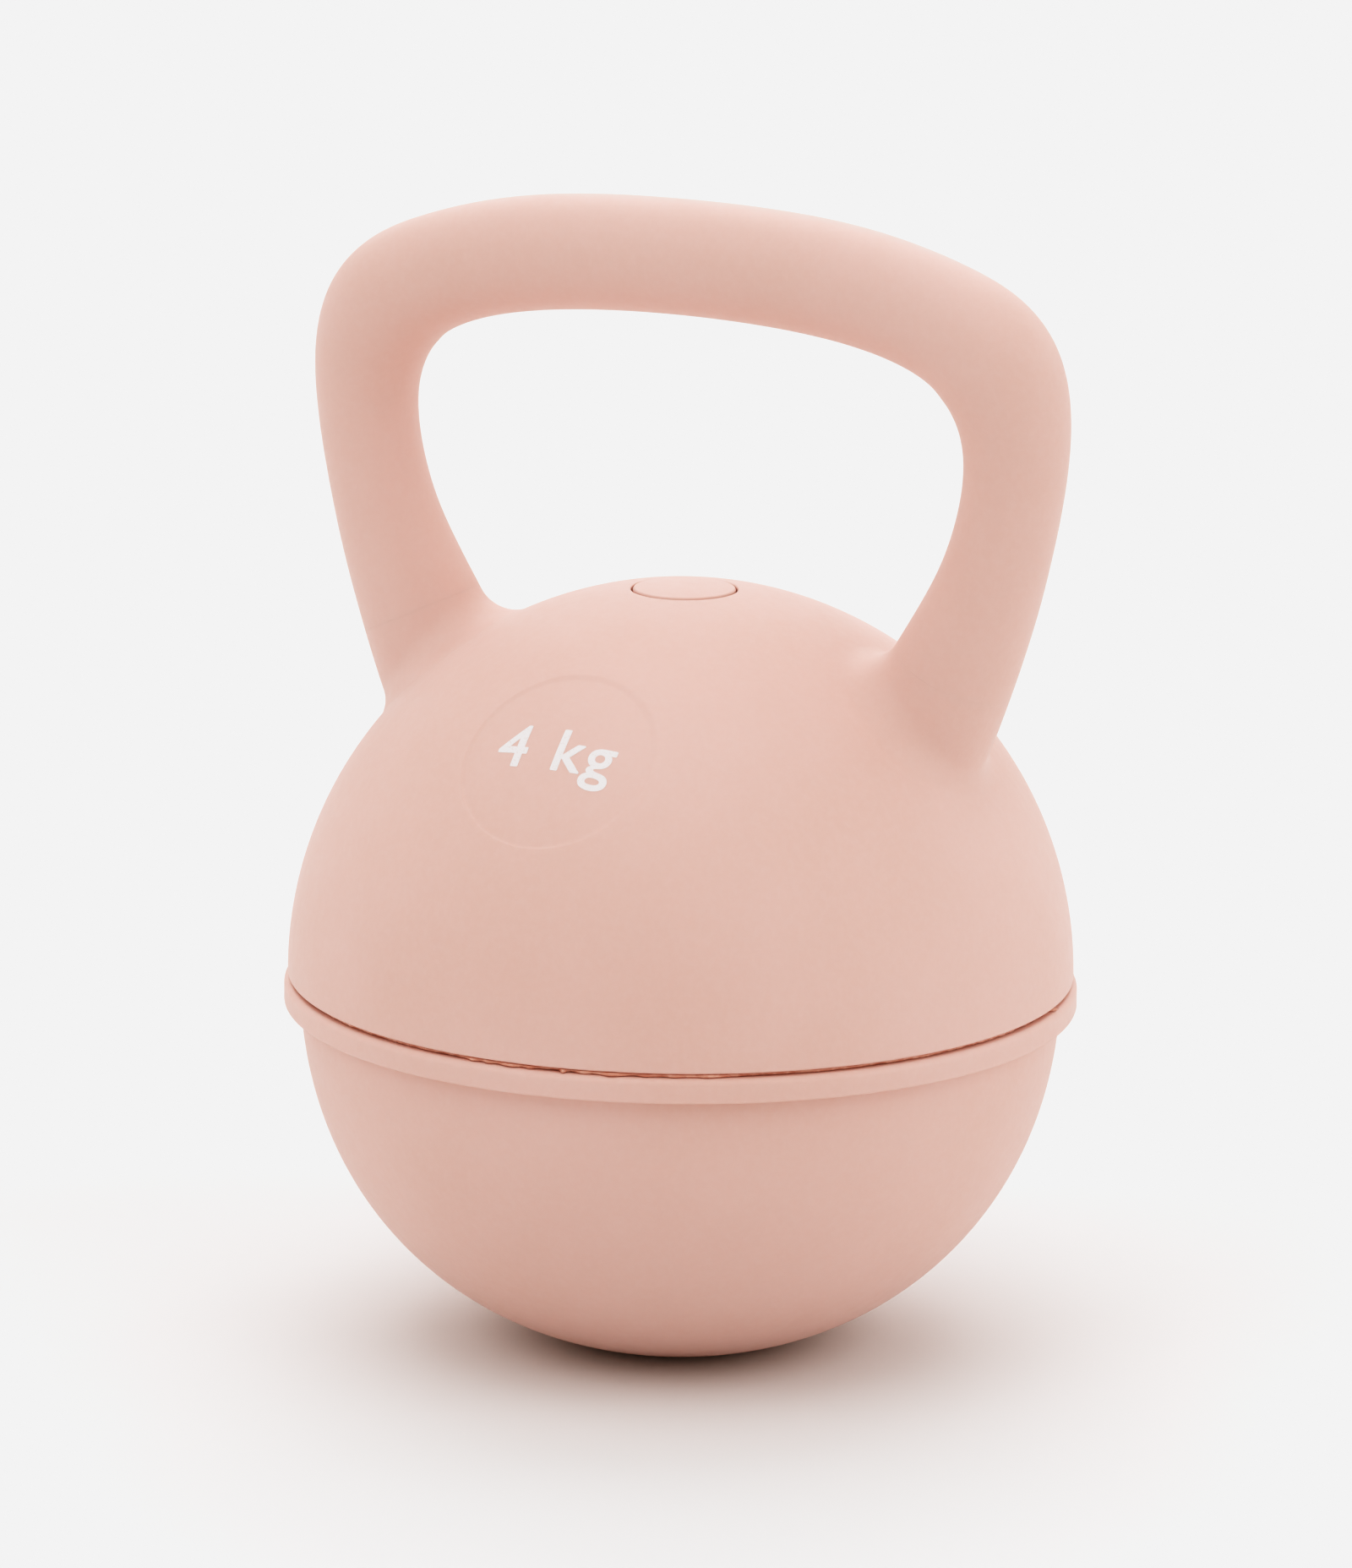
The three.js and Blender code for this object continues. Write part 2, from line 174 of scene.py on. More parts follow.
def new_object(name, data):
    obj = bpy.data.objects.new(name, data)
    bpy.context.scene.collection.objects.link(obj)
    return obj


def object_from(name, points, faces):
    mesh = bpy.data.meshes.new(name)
    mesh.from_pydata([tuple(p) for p in points], [], faces)
    mesh.update()
    return new_object(name, mesh)


def edit(obj, change):
    """Runs change(bm) on the object's mesh and writes it back with its faces pointing out."""
    bm = bmesh.new()
    bm.from_mesh(obj.data)
    change(bm)
    bmesh.ops.recalc_face_normals(bm, faces=bm.faces)
    bm.to_mesh(obj.data)
    bm.free()
    obj.data.update()


def shade(obj, sharp_angle=math.radians(40)):
    """Smooth shading that keeps edges sharper than the angle crisp."""
    obj.data.shade_smooth()
    obj.data.set_sharp_from_angle(angle=sharp_angle)


def apply_modifier(obj, kind, **settings):
    modifier = obj.modifiers.new(kind.lower(), kind)
    for key, value in settings.items():
        setattr(modifier, key, value)
    mesh = bpy.data.meshes.new_from_object(obj.evaluated_get(bpy.context.evaluated_depsgraph_get()))
    obj.modifiers.clear()
    old = obj.data
    obj.data = mesh
    bpy.data.meshes.remove(old)


def combine(obj, other, operation):
    """Joins or cuts obj with the other object, which is used up."""
    apply_modifier(obj, "BOOLEAN", object=other, operation=operation, solver="MANIFOLD")
    bpy.data.objects.remove(other)


def coordinates(obj):
    flat = np.empty(len(obj.data.vertices) * 3, np.float32)
    obj.data.vertices.foreach_get("co", flat)
    return flat.reshape(-1, 3).astype(float)


def set_coordinates(obj, points):
    obj.data.vertices.foreach_set("co", points.astype(np.float32).ravel())
    obj.data.update()


def arc(centre_x, centre_z, radius, from_degrees, to_degrees, steps):
    """Points on an arc in the profile plane, as (distance from the axis, height)."""
    angles = np.radians(np.linspace(from_degrees, to_degrees, steps + 1))
    return [(centre_x + radius * math.cos(a), centre_z + radius * math.sin(a)) for a in angles]


def turned(name, profile, segments, closed=False):
    """A surface of revolution about Z. The profile starts and ends on the axis, or closes on itself."""
    points = []
    rows = []
    for r, z in profile:
        count = 1 if r < ON_AXIS else segments
        rows.append(range(len(points), len(points) + count))
        for i in range(count):
            angle = FULL_TURN * i / segments
            points.append((r * math.cos(angle), r * math.sin(angle), z))
    faces = []
    pairs = list(zip(rows, rows[1:] + rows[:1])) if closed else list(zip(rows, rows[1:]))
    for low, high in pairs:
        for i in range(segments):
            j = (i + 1) % segments
            corners = [low[i % len(low)], low[j % len(low)], high[j % len(high)], high[i % len(high)]]
            faces.append(list(dict.fromkeys(corners)))
    obj = object_from(name, points, faces)
    edit(obj, lambda bm: None)
    return obj


# ---------------------------------------------------------------- The handle's curve


def handle_curve_points():
    half = HANDLE_POINTS
    whole = np.vstack([half[:0:-1] * (-1, 1, 1), half])
    return np.vstack([2 * whole[0] - whole[1], whole, 2 * whole[-1] - whole[-2]])


CURVE_POINTS = handle_curve_points()
CURVE_SPANS = len(CURVE_POINTS) - 3


def curve_at(t):
    """Rows of (x, height, radius) on the handle's curve at parameters t, and their two derivatives."""
    span = np.clip(t.astype(int), 0, CURVE_SPANS - 1)
    u = t - span
    values = np.stack([(1 - u) ** 3, 3 * u**3 - 6 * u**2 + 4, -3 * u**3 + 3 * u**2 + 3 * u + 1, u**3])
    slopes = np.stack([-3 * (1 - u) ** 2, 9 * u**2 - 12 * u, -9 * u**2 + 6 * u + 3, 3 * u**2])
    bends = np.stack([6 * (1 - u), 18 * u - 12, 6 - 18 * u, 6 * u])
    corners = np.stack([CURVE_POINTS[span + i] for i in range(4)])
    return [np.einsum("ip,ipk->pk", weights, corners) / 6 for weights in (values, slopes, bends)]


def even_parameters(count, start=0.0, end=1.0):
    """Parameters evenly spaced along the curve's length, between two shares of it."""
    t = np.linspace(0, CURVE_SPANS, 2000)
    path = curve_at(t)[0][:, :2]
    travelled = np.concatenate([[0], np.cumsum(np.linalg.norm(np.diff(path, axis=0), axis=1))])
    return np.interp(np.linspace(start, end, count) * travelled[-1], travelled, t), travelled[-1]


def swept(name, radii, parameters, sides):
    """A round bar with flat ends along the handle's curve. radii is one number, or one per parameter."""
    place, slope, _ = curve_at(parameters)
    tangent = slope[:, :2] / np.linalg.norm(slope[:, :2], axis=1)[:, None]
    radii = np.broadcast_to(radii, len(parameters))
    points = []
    for (x, height, _), (tx, tz), radius in zip(place, tangent, radii):
        for j in range(sides):
            angle = FULL_TURN * j / sides
            in_plane = radius * math.cos(angle)
            points.append((x - tz * in_plane, radius * math.sin(angle), CENTRE_Z + height + tx * in_plane))
    faces = []
    for i in range(len(parameters) - 1):
        for j in range(sides):
            k = (j + 1) % sides
            faces.append((i * sides + j, i * sides + k, (i + 1) * sides + k, (i + 1) * sides + j))
    faces.append(list(range(sides)))
    faces.append([(len(parameters) - 1) * sides + j for j in range(sides)])
    obj = object_from(name, points, faces)
    edit(obj, lambda bm: None)
    return obj


# ---------------------------------------------------------------- Upper shell


def handle_distance(points):
    """How far points are outside the handle's skin, and the directions away from its centre line."""
    coarse = np.linspace(0, CURVE_SPANS, CURVE_SAMPLES)
    samples = curve_at(coarse)[0]
    flat = points[:, (0, 2)] - (0, CENTRE_Z)
    nearest = np.concatenate(
        [
            np.argmin(((chunk[:, None] - samples[None, :, :2]) ** 2).sum(2), axis=1)
            for chunk in np.array_split(flat, max(1, len(flat) // POINTS_AT_ONCE))
        ]
    )
    t = coarse[nearest]
    for _ in range(4):
        place, slope, bend = (part[:, :2] for part in curve_at(t))
        away = place - flat
        push = (away * slope).sum(1)
        stiffness = (slope**2).sum(1) + (away * bend).sum(1)
        t = np.clip(t - push / np.maximum(stiffness, 1e-6), 0, CURVE_SPANS)
    place = curve_at(t)[0]
    offset = points - np.stack([place[:, 0], np.zeros(len(t)), place[:, 1] + CENTRE_Z], axis=1)
    length = np.linalg.norm(offset, axis=1)
    return length - place[:, 2], offset / length[:, None]


def fillet_radius(points, handle_out):
    """The root fillet's radius for points on each side of a leg."""
    inward = -np.sign(points[:, 0]) * handle_out[:, 0]
    spread = (FILLET_INSIDE - FILLET_OUTSIDE) / 2
    bend = (FILLET_INSIDE + FILLET_OUTSIDE) / 2 - FILLET_SIDE
    return FILLET_SIDE + spread * inward + bend * inward**2


def settle(points, rounds=8):
    """Moves points on to the ball and handle, joined by a round fillet."""
    for _ in range(rounds):
        from_centre = points - CENTRE
        length = np.linalg.norm(from_centre, axis=1)
        ball = length - DOME_RADIUS
        ball_out = from_centre / length[:, None]
        handle, handle_out = handle_distance(points)
        fillet = fillet_radius(points, handle_out)
        ball_share = np.maximum(fillet - ball, 0)
        handle_share = np.maximum(fillet - handle, 0)
        reach = np.maximum(np.hypot(ball_share, handle_share), 1e-9)
        distance = np.maximum(fillet, np.minimum(ball, handle)) - reach
        slope = (ball_share / reach)[:, None] * ball_out + (handle_share / reach)[:, None] * handle_out
        steepness = np.maximum((slope**2).sum(1), LEAST_STEEPNESS)
        points = points - (distance / steepness)[:, None] * slope
    return points


def relax(obj, rounds):
    """Evens out the mesh by moving each vertex towards its neighbours' mean, then back on to the surface."""
    edges = np.empty(len(obj.data.edges) * 2, np.int32)
    obj.data.edges.foreach_get("vertices", edges)
    a, b = edges.reshape(-1, 2).T
    points = coordinates(obj)
    count = np.bincount(a, minlength=len(points)) + np.bincount(b, minlength=len(points))
    for _ in range(rounds):
        total = np.zeros_like(points)
        for axis in range(3):
            total[:, axis] = np.bincount(a, points[b, axis], len(points))
            total[:, axis] += np.bincount(b, points[a, axis], len(points))
        points = settle(0.5 * points + 0.5 * total / count[:, None], rounds=2)
    set_coordinates(obj, settle(points))


def outer_skin():
    """The closed outside of a whole ball with the handle and its root fillets."""
    parameters, _ = even_parameters(160)
    obj = swept("outer_skin", curve_at(parameters)[0][:, 2], parameters, 48)
    ball = turned("ball", arc(0, CENTRE_Z, DOME_RADIUS, -90, 90, 48), 96)
    bm = bmesh.new()
    bm.from_mesh(obj.data)
    bm.from_mesh(ball.data)
    bm.to_mesh(obj.data)
    bm.free()
    bpy.data.objects.remove(ball)
    for voxel in (COARSE_VOXEL, FINE_VOXEL):
        apply_modifier(obj, "REMESH", mode="VOXEL", voxel_size=voxel)
        set_coordinates(obj, settle(coordinates(obj)))
    relax(obj, 3)
    return obj


def pad_distance(points):
    """Distance along the dome from the pad's centre."""
    from_centre = points - CENTRE
    along = from_centre @ PAD_AXIS / np.linalg.norm(from_centre, axis=1)
    return DOME_RADIUS * np.arccos(np.clip(along, -1, 1))


def refine_near_pad(bm):
    """Splits the faces along the pad's rim, which is finer than the rest of the mesh."""
    middles = np.array([edge.verts[0].co + edge.verts[1].co for edge in bm.edges]) / 2
    offset = pad_distance(middles) - PAD_RADIUS
    near_dome = np.linalg.norm(middles - CENTRE, axis=1) < NEAR_DOME_RADIUS
    chosen = (np.abs(offset) < PAD_RIM_REACH) & near_dome
    edges = [edge for edge, pick in zip(bm.edges, chosen) if pick]
    bmesh.ops.subdivide_edges(bm, edges=edges, cuts=3, use_grid_fill=True)


def press_pad(points):
    """Recesses the pad. Its rim is crisp at the lower left and softer at the upper right."""
    out = (points - CENTRE) / np.linalg.norm(points - CENTRE, axis=1)[:, None]
    on_dome = np.linalg.norm(points - CENTRE, axis=1) < NEAR_DOME_RADIUS
    softness = 0.5 + 0.5 * out @ PAD_SOFT_WAY / np.sin(PAD_RADIUS / DOME_RADIUS) / PAD_SOFT_SPAN
    width = (PAD_CRISP_RIM_MM + PAD_SOFT_RIM_EXTRA_MM * np.clip(softness, 0, 1)) * MM
    share = np.clip((PAD_RADIUS - pad_distance(points)) / width + 0.5, 0, 1)
    depth = PAD_DEPTH * share**2 * (3 - 2 * share) * on_dome
    return points - depth[:, None] * out


def trim(bm, plane_z, keep_above, within=None):
    """Cuts the mesh at a level and deletes one side, near the Z axis only if within gives a radius."""
    faces = bm.faces
    if within is not None:
        middles = [face.calc_center_median() for face in bm.faces]
        faces = [
            face
            for face, middle in zip(bm.faces, middles)
            if math.hypot(*middle.xy) < within and abs(middle.z - plane_z) < within
        ]
    edges = {edge for face in faces for edge in face.edges}
    verts = {vert for face in faces for vert in face.verts}
    bmesh.ops.bisect_plane(
        bm,
        geom=[*verts, *edges, *faces],
        plane_co=(0, 0, plane_z),
        plane_no=(0, 0, 1),
        clear_inner=keep_above,
        clear_outer=not keep_above,
    )


def boundary_ring(bm, z):
    """The open edge's vertices at a level, in order round the Z axis."""
    verts = {vert for edge in bm.edges if edge.is_boundary for vert in edge.verts}
    ring = [vert for vert in verts if abs(vert.co.z - z) < RING_TOLERANCE]
    return sorted(ring, key=lambda vert: math.atan2(vert.co.y, vert.co.x))


def extend(bm, ring, profile):
    """Carries an open ring on along a turned profile, and returns the last ring."""
    for r, z in profile:
        row = [bm.verts.new(Vector((*(vert.co.xy.normalized() * r), z))) for vert in ring]
        for i in range(len(ring)):
            bm.faces.new((ring[i - 1], ring[i], row[i], row[i - 1]))
        ring = row
    return ring


def level_on(radius, r):
    """Height above the ball's centre of a sphere's point at distance r from the axis."""
    return math.sqrt(radius**2 - r**2)


def close_inside(bm):
    """Trims the skin at the dome's edge and the plug's seat, and adds the edge, inner face and seat."""
    edge_z = DOME_EDGE_Z + DOME_EDGE_ROUND
    mouth_radius = SEAT_RADIUS + SEAT_MOUTH_ROUND
    mouth_z = CENTRE_Z + level_on(DOME_RADIUS, mouth_radius)
    trim(bm, edge_z, keep_above=True)
    trim(bm, mouth_z, keep_above=False, within=MOUTH_REACH)

    edge_round_x = DOME_RADIUS - DOME_EDGE_ROUND
    lower = [
        *arc(edge_round_x, edge_z, DOME_EDGE_ROUND, 0, -90, 6)[1:],
        (DOME_INNER_RADIUS + DOME_EDGE_CHAMFER, DOME_EDGE_Z),
        (DOME_INNER_RADIUS, DOME_EDGE_Z + DOME_EDGE_CHAMFER),
        *arc(0, CENTRE_Z, DOME_INNER_RADIUS, 4, 40, 12),
    ]
    floor_z = DOME_TOP_Z - SEAT_DEPTH
    boss_z = DOME_TOP_Z - HOLE_BOSS_DEPTH
    boss_top = math.degrees(math.acos(HOLE_BOSS_RADIUS / DOME_INNER_RADIUS))
    upper = [
        *arc(mouth_radius, mouth_z - SEAT_MOUTH_ROUND, SEAT_MOUTH_ROUND, 90, 180, 4)[1:],
        (SEAT_RADIUS, floor_z + SEAT_CHAMFER),
        (SEAT_RADIUS - SEAT_CHAMFER, floor_z),
        (HOLE_RADIUS + SEAT_CHAMFER, floor_z),
        (HOLE_RADIUS, floor_z - SEAT_CHAMFER),
        (HOLE_RADIUS, boss_z),
        (HOLE_BOSS_RADIUS, boss_z),
        *arc(0, CENTRE_Z, DOME_INNER_RADIUS, boss_top, 46, 8),
    ]
    low_ring = extend(bm, boundary_ring(bm, edge_z), lower)
    high_ring = extend(bm, boundary_ring(bm, mouth_z), upper)
    loops = [edge for edge in bm.edges if edge.is_boundary]
    assert len(loops) == len(low_ring) + len(high_ring), "the skin has another open edge"
    bmesh.ops.bridge_loops(bm, edges=loops)


def above_joints(name, lift):
    """A block that holds the handle above its two joints, with its lower faces lifted along the legs."""
    _, length = even_parameters(2)
    joint = even_parameters(3, SOCKET_END / length, 1)[0][:1]
    place, slope, _ = (part[0, :2] for part in curve_at(joint))
    along = slope / np.linalg.norm(slope)
    x, height = place + lift * along
    fall = -along[0] / along[1]
    corners = [(-BLOCK_REACH, height + fall * (-BLOCK_REACH - x)), (0, height - fall * x)]
    corners += [(BLOCK_REACH, corners[0][1]), (BLOCK_REACH, BLOCK_TOP), (-BLOCK_REACH, BLOCK_TOP)]
    sides = (-BLOCK_HALF_DEPTH, BLOCK_HALF_DEPTH)
    points = [(corner_x, y, CENTRE_Z + corner_z) for y in sides for corner_x, corner_z in corners]
    count = len(corners)
    faces = [list(range(count)), list(range(count, 2 * count))]
    faces += [(i, (i + 1) % count, count + (i + 1) % count, count + i) for i in range(count)]
    block = object_from(name, points, faces)
    edit(block, lambda bm: None)
    return block


def drop_idle_corners(bm):
    """Removes the corners where only two edges meet, which the cuts leave along edges."""
    idle = [vert for vert in bm.verts if len(vert.link_edges) == 2]
    bmesh.ops.dissolve_verts(bm, verts=idle)


def core_bore():
    parameters, _ = even_parameters(120)
    return swept("bore", CORE_RADIUS + GAP, parameters, 40)


def upper_shell_and_handle():
    """The dome with its two sockets, and the handle's skin, cut from one outer surface."""
    shell = outer_skin()
    edit(shell, refine_near_pad)
    set_coordinates(shell, press_pad(settle(coordinates(shell))))
    handle = new_object("handle_skin_visual", shell.data.copy())
    combine(handle, above_joints("upper_block", JOINT_GAP / 2), "INTERSECT")
    combine(handle, core_bore(), "DIFFERENCE")
    edit(handle, drop_idle_corners)
    combine(shell, above_joints("lower_block", -JOINT_GAP / 2), "DIFFERENCE")
    edit(shell, close_inside)
    _, length = even_parameters(2)
    start = CORE_STICK_OUT / length
    end = (SOCKET_END - BOSS_SETBACK) / length
    for share_from, share_to in ((start, end), (1 - end, 1 - start)):
        parameters, _ = even_parameters(6, share_from, share_to)
        boss = swept("boss", curve_at(parameters)[0][:, 2], parameters, 40)
        combine(shell, boss, "UNION")
    combine(shell, core_bore(), "DIFFERENCE")
    shell.name = "upper_shell_visual"
    shade(shell)
    shade(handle)
    return shell, handle


# ---------------------------------------------------------------- Lower shell and seam


def bowl_outline(inset, bottom_z, steps):
    """The bowl's superellipse from one height up to its centre, inset from the outside."""
    radius = BOWL_RADIUS - inset
    depth = BOWL_DEPTH - inset
    exponent = 2 / BOWL_POWER
    first = math.asin(((BOWL_CENTRE_Z - bottom_z) / depth) ** (1 / exponent))
    angles = [first * (1 - i / steps) for i in range(steps + 1)]
    return [
        (radius * math.cos(a) ** exponent, BOWL_CENTRE_Z - depth * math.sin(a) ** exponent)
        for a in angles
    ]


def lower_shell():
    collar_bottom = COLLAR_TOP_Z - COLLAR_HEIGHT
    outer = [p for p in bowl_outline(0, 0, 90) if p[1] < collar_bottom - COLLAR_CLEARANCE]
    lip_x = COLLAR_RADIUS - COLLAR_LOWER_ROUND
    top_x = COLLAR_RADIUS - COLLAR_ROUND
    profile = [
        (0, 0),
        (outer[0][0] - BASE_RING_INSET, 0),
        *outer,
        (BOWL_RADIUS - COLLAR_INSET, collar_bottom),
        *arc(lip_x, collar_bottom + COLLAR_LOWER_ROUND, COLLAR_LOWER_ROUND, -90, 0, 6),
        *arc(top_x, COLLAR_TOP_Z - COLLAR_ROUND, COLLAR_ROUND, 0, 90, 10),
        (TONGUE_RADIUS + TONGUE_FOOT_CHAMFER, COLLAR_TOP_Z),
        (TONGUE_RADIUS, COLLAR_TOP_Z + TONGUE_FOOT_CHAMFER),
        (TONGUE_RADIUS, TONGUE_TOP_Z - TONGUE_TOP_CHAMFER),
        (TONGUE_RADIUS - TONGUE_TOP_CHAMFER, TONGUE_TOP_Z),
        (BOWL_RADIUS - WALL + TONGUE_TOP_CHAMFER, TONGUE_TOP_Z),
        (BOWL_RADIUS - WALL, TONGUE_TOP_Z - TONGUE_TOP_CHAMFER),
        *reversed(bowl_outline(WALL, WALL, 40)),
        (0, WALL),
    ]
    shell = turned("lower_shell_visual", profile, 360)
    shade(shell, math.radians(50))
    return shell


# Where the glue has squeezed forward in the seam: azimuth from -Y towards +X, spread along the seam, and how
# far.
GLUE_BLOBS = [
    (math.radians(-4), math.radians(1.2), 1.1 * MM),
    (math.radians(-1.5), math.radians(0.9), 0.9 * MM),
    (math.radians(2), math.radians(1.6), 1.2 * MM),
    (math.radians(5), math.radians(0.8), 0.8 * MM),
    (math.radians(10), math.radians(0.5), 1.5 * MM),
    (math.radians(13), math.radians(1.0), 1.0 * MM),
    (math.radians(17), math.radians(2.2), 1.2 * MM),
    (math.radians(22), math.radians(1.3), 0.9 * MM),
    (math.radians(26), math.radians(1.8), 1.1 * MM),
    (math.radians(31), math.radians(2.4), 1.0 * MM),
    (math.radians(97), math.radians(0.5), 1.4 * MM),
    (math.radians(163), math.radians(1.5), 1.0 * MM),
    (math.radians(-121), math.radians(1.9), 1.1 * MM),
]


def seam_adhesive():
    """The bead between the shells, uneven along its face."""
    segments = 1440
    bottom = COLLAR_TOP_Z + BEAD_CLEARANCE
    top = DOME_EDGE_Z - BEAD_CLEARANCE
    bulge = (top - bottom) / 2
    face = arc(BEAD_RADIUS - bulge, bottom + bulge, bulge, -90, 90, 6)
    inside = TONGUE_RADIUS + GAP / 2
    bead = turned("seam_adhesive_visual", [(inside, bottom), *face, (inside, top)], segments, closed=True)
    points = coordinates(bead)
    azimuth = np.arctan2(points[:, 0], -points[:, 1])
    radius = np.hypot(points[:, 0], points[:, 1])
    reach = (radius - inside) / (BEAD_RADIUS - inside)
    ripple = np.sin(23 * azimuth + 1) + 0.7 * np.sin(61 * azimuth + 2) + 0.5 * np.sin(157 * azimuth)
    push = BEAD_RIPPLE * ripple
    for place, spread, distance in GLUE_BLOBS:
        gap = (azimuth - place + math.pi) % FULL_TURN - math.pi
        push = push + distance * np.exp(-((gap / spread) ** 2))
    grown = 1 + np.clip(reach, 0, 1) * push / radius
    points[:, :2] *= grown[:, None]
    set_coordinates(bead, points)
    shade(bead)
    return bead


# ---------------------------------------------------------------- Filler plug


def filler_plug():
    cap_bottom = DOME_TOP_Z - SEAT_DEPTH + GAP
    stem_bottom = plug_low.z
    round_x = PLUG_CAP_RADIUS - PLUG_CAP_ROUND
    edge_degrees = math.degrees(math.acos(round_x / PLUG_CROWN_RADIUS))
    edge_z = CENTRE_Z + level_on(PLUG_CROWN_RADIUS, round_x)
    ribs = []
    for i in range(PLUG_RIBS):
        rib_z = stem_bottom + PLUG_FIRST_RIB + i * PLUG_RIB_PITCH
        crest = (PLUG_RIB_RADIUS - PLUG_RIB_ROUND, rib_z + PLUG_RIB_ROUND_UP)
        ribs.append((PLUG_STEM_RADIUS, rib_z))
        ribs.extend(arc(*crest, PLUG_RIB_ROUND, -40, 90, 4))
        ribs.append((PLUG_STEM_RADIUS, rib_z + PLUG_RIB_HEIGHT))
    profile = [
        (0, cap_bottom - PLUG_BORE_ROOF),
        (PLUG_BORE_RADIUS - PLUG_BORE_CHAMFER, cap_bottom - PLUG_BORE_ROOF),
        (PLUG_BORE_RADIUS, cap_bottom - PLUG_BORE_SHOULDER),
        (PLUG_BORE_RADIUS, stem_bottom),
        (PLUG_STEM_RADIUS - PLUG_STEM_CHAMFER, stem_bottom),
        *ribs,
        (PLUG_STEM_RADIUS, cap_bottom - PLUG_NECK_CHAMFER),
        (PLUG_STEM_RADIUS + PLUG_NECK_CHAMFER, cap_bottom),
        (PLUG_CAP_RADIUS - PLUG_CAP_CHAMFER, cap_bottom),
        (PLUG_CAP_RADIUS, cap_bottom + PLUG_CAP_CHAMFER),
        *arc(round_x, edge_z - PLUG_CAP_ROUND, PLUG_CAP_ROUND, 0, 90, 8),
        *arc(0, CENTRE_Z, PLUG_CROWN_RADIUS, edge_degrees + 0.4, 90, 10),
    ]
    profile[-1] = (0, plug_high.z)
    plug = turned("filler_plug_visual", profile, 128)
    shade(plug, math.radians(50))
    return plug


# ---------------------------------------------------------------- Weight mark

MARK_TEXT = "4 kg"
MARK_FONT_SIZE = 1  # the letters are made at this size, and scaled to the mark's width later
MARK_EXTRUDE = 0.5
MARK_MERGE = 0.0001
MARK_WIDTH = 27 * MM
MARK_SPACING = 1.12
MARK_BOLD = 0.014  # how far the outline is pushed out, as a share of the letters' size
MARK_BOLD_STEPS = 8
MARK_THICKNESS = 0.06 * MM
MARK_GRID = 1.5 * MM


def cut_in_squares(bm, low, high, size):
    """Cuts a flat mesh along the lines of a square grid, so that it can be bent."""
    for axis in (0, 1):
        direction = [float(axis == i) for i in range(3)]
        for level in np.arange(low[axis] + size, high[axis], size):
            point = [level * share for share in direction]
            geometry = [*bm.verts, *bm.edges, *bm.faces]
            bmesh.ops.bisect_plane(bm, geom=geometry, plane_co=point, plane_no=direction)


def thicken(obj, distance):
    """Pushes a flat shape's outline out, by joining it with copies of itself shifted all round."""
    base = coordinates(obj)
    mesh = obj.data.copy()
    for i in range(MARK_BOLD_STEPS):
        angle = FULL_TURN * i / MARK_BOLD_STEPS
        shifted = new_object("shifted", mesh.copy())
        set_coordinates(shifted, base + distance * np.array([math.cos(angle), math.sin(angle), 0]))
        combine(obj, shifted, "UNION")


def weight_mark():
    """The weight in Blender's own plain lettering, centred on the pad and bent on to it."""
    text = bpy.data.curves.new("weight_text", "FONT")
    text.body = MARK_TEXT
    text.size = MARK_FONT_SIZE
    text.space_character = MARK_SPACING
    text.extrude = MARK_EXTRUDE
    flat = new_object("flat_mark", text)
    bpy.context.view_layer.update()
    mark = new_object("weight_mark", bpy.data.meshes.new_from_object(flat))
    bpy.data.objects.remove(flat)
    edit(mark, lambda bm: bmesh.ops.remove_doubles(bm, verts=bm.verts, dist=MARK_MERGE))
    thicken(mark, MARK_BOLD)

    points = coordinates(mark)
    points -= (points.min(axis=0) + points.max(axis=0)) / 2
    points[:, :2] *= MARK_WIDTH / np.ptp(points[:, 0])
    points[:, 2] = np.where(points[:, 2] > 0, MARK_THICKNESS, 0)
    set_coordinates(mark, points)
    low, high = points.min(axis=0), points.max(axis=0)

    def cut(bm):
        bmesh.ops.dissolve_limit(bm, angle_limit=math.radians(0.5), verts=bm.verts, edges=bm.edges)
        cut_in_squares(bm, low, high, MARK_GRID)

    edit(mark, cut)
    right, up, lift = coordinates(mark).T[:, :, None]
    depth = np.sqrt((DOME_RADIUS - PAD_DEPTH + lift) ** 2 - right**2 - up**2)
    set_coordinates(mark, CENTRE + right * (1, 0, 0) + up * PAD_UP + depth * PAD_AXIS)
    shade(mark)
    return mark


# ---------------------------------------------------------------- Materials


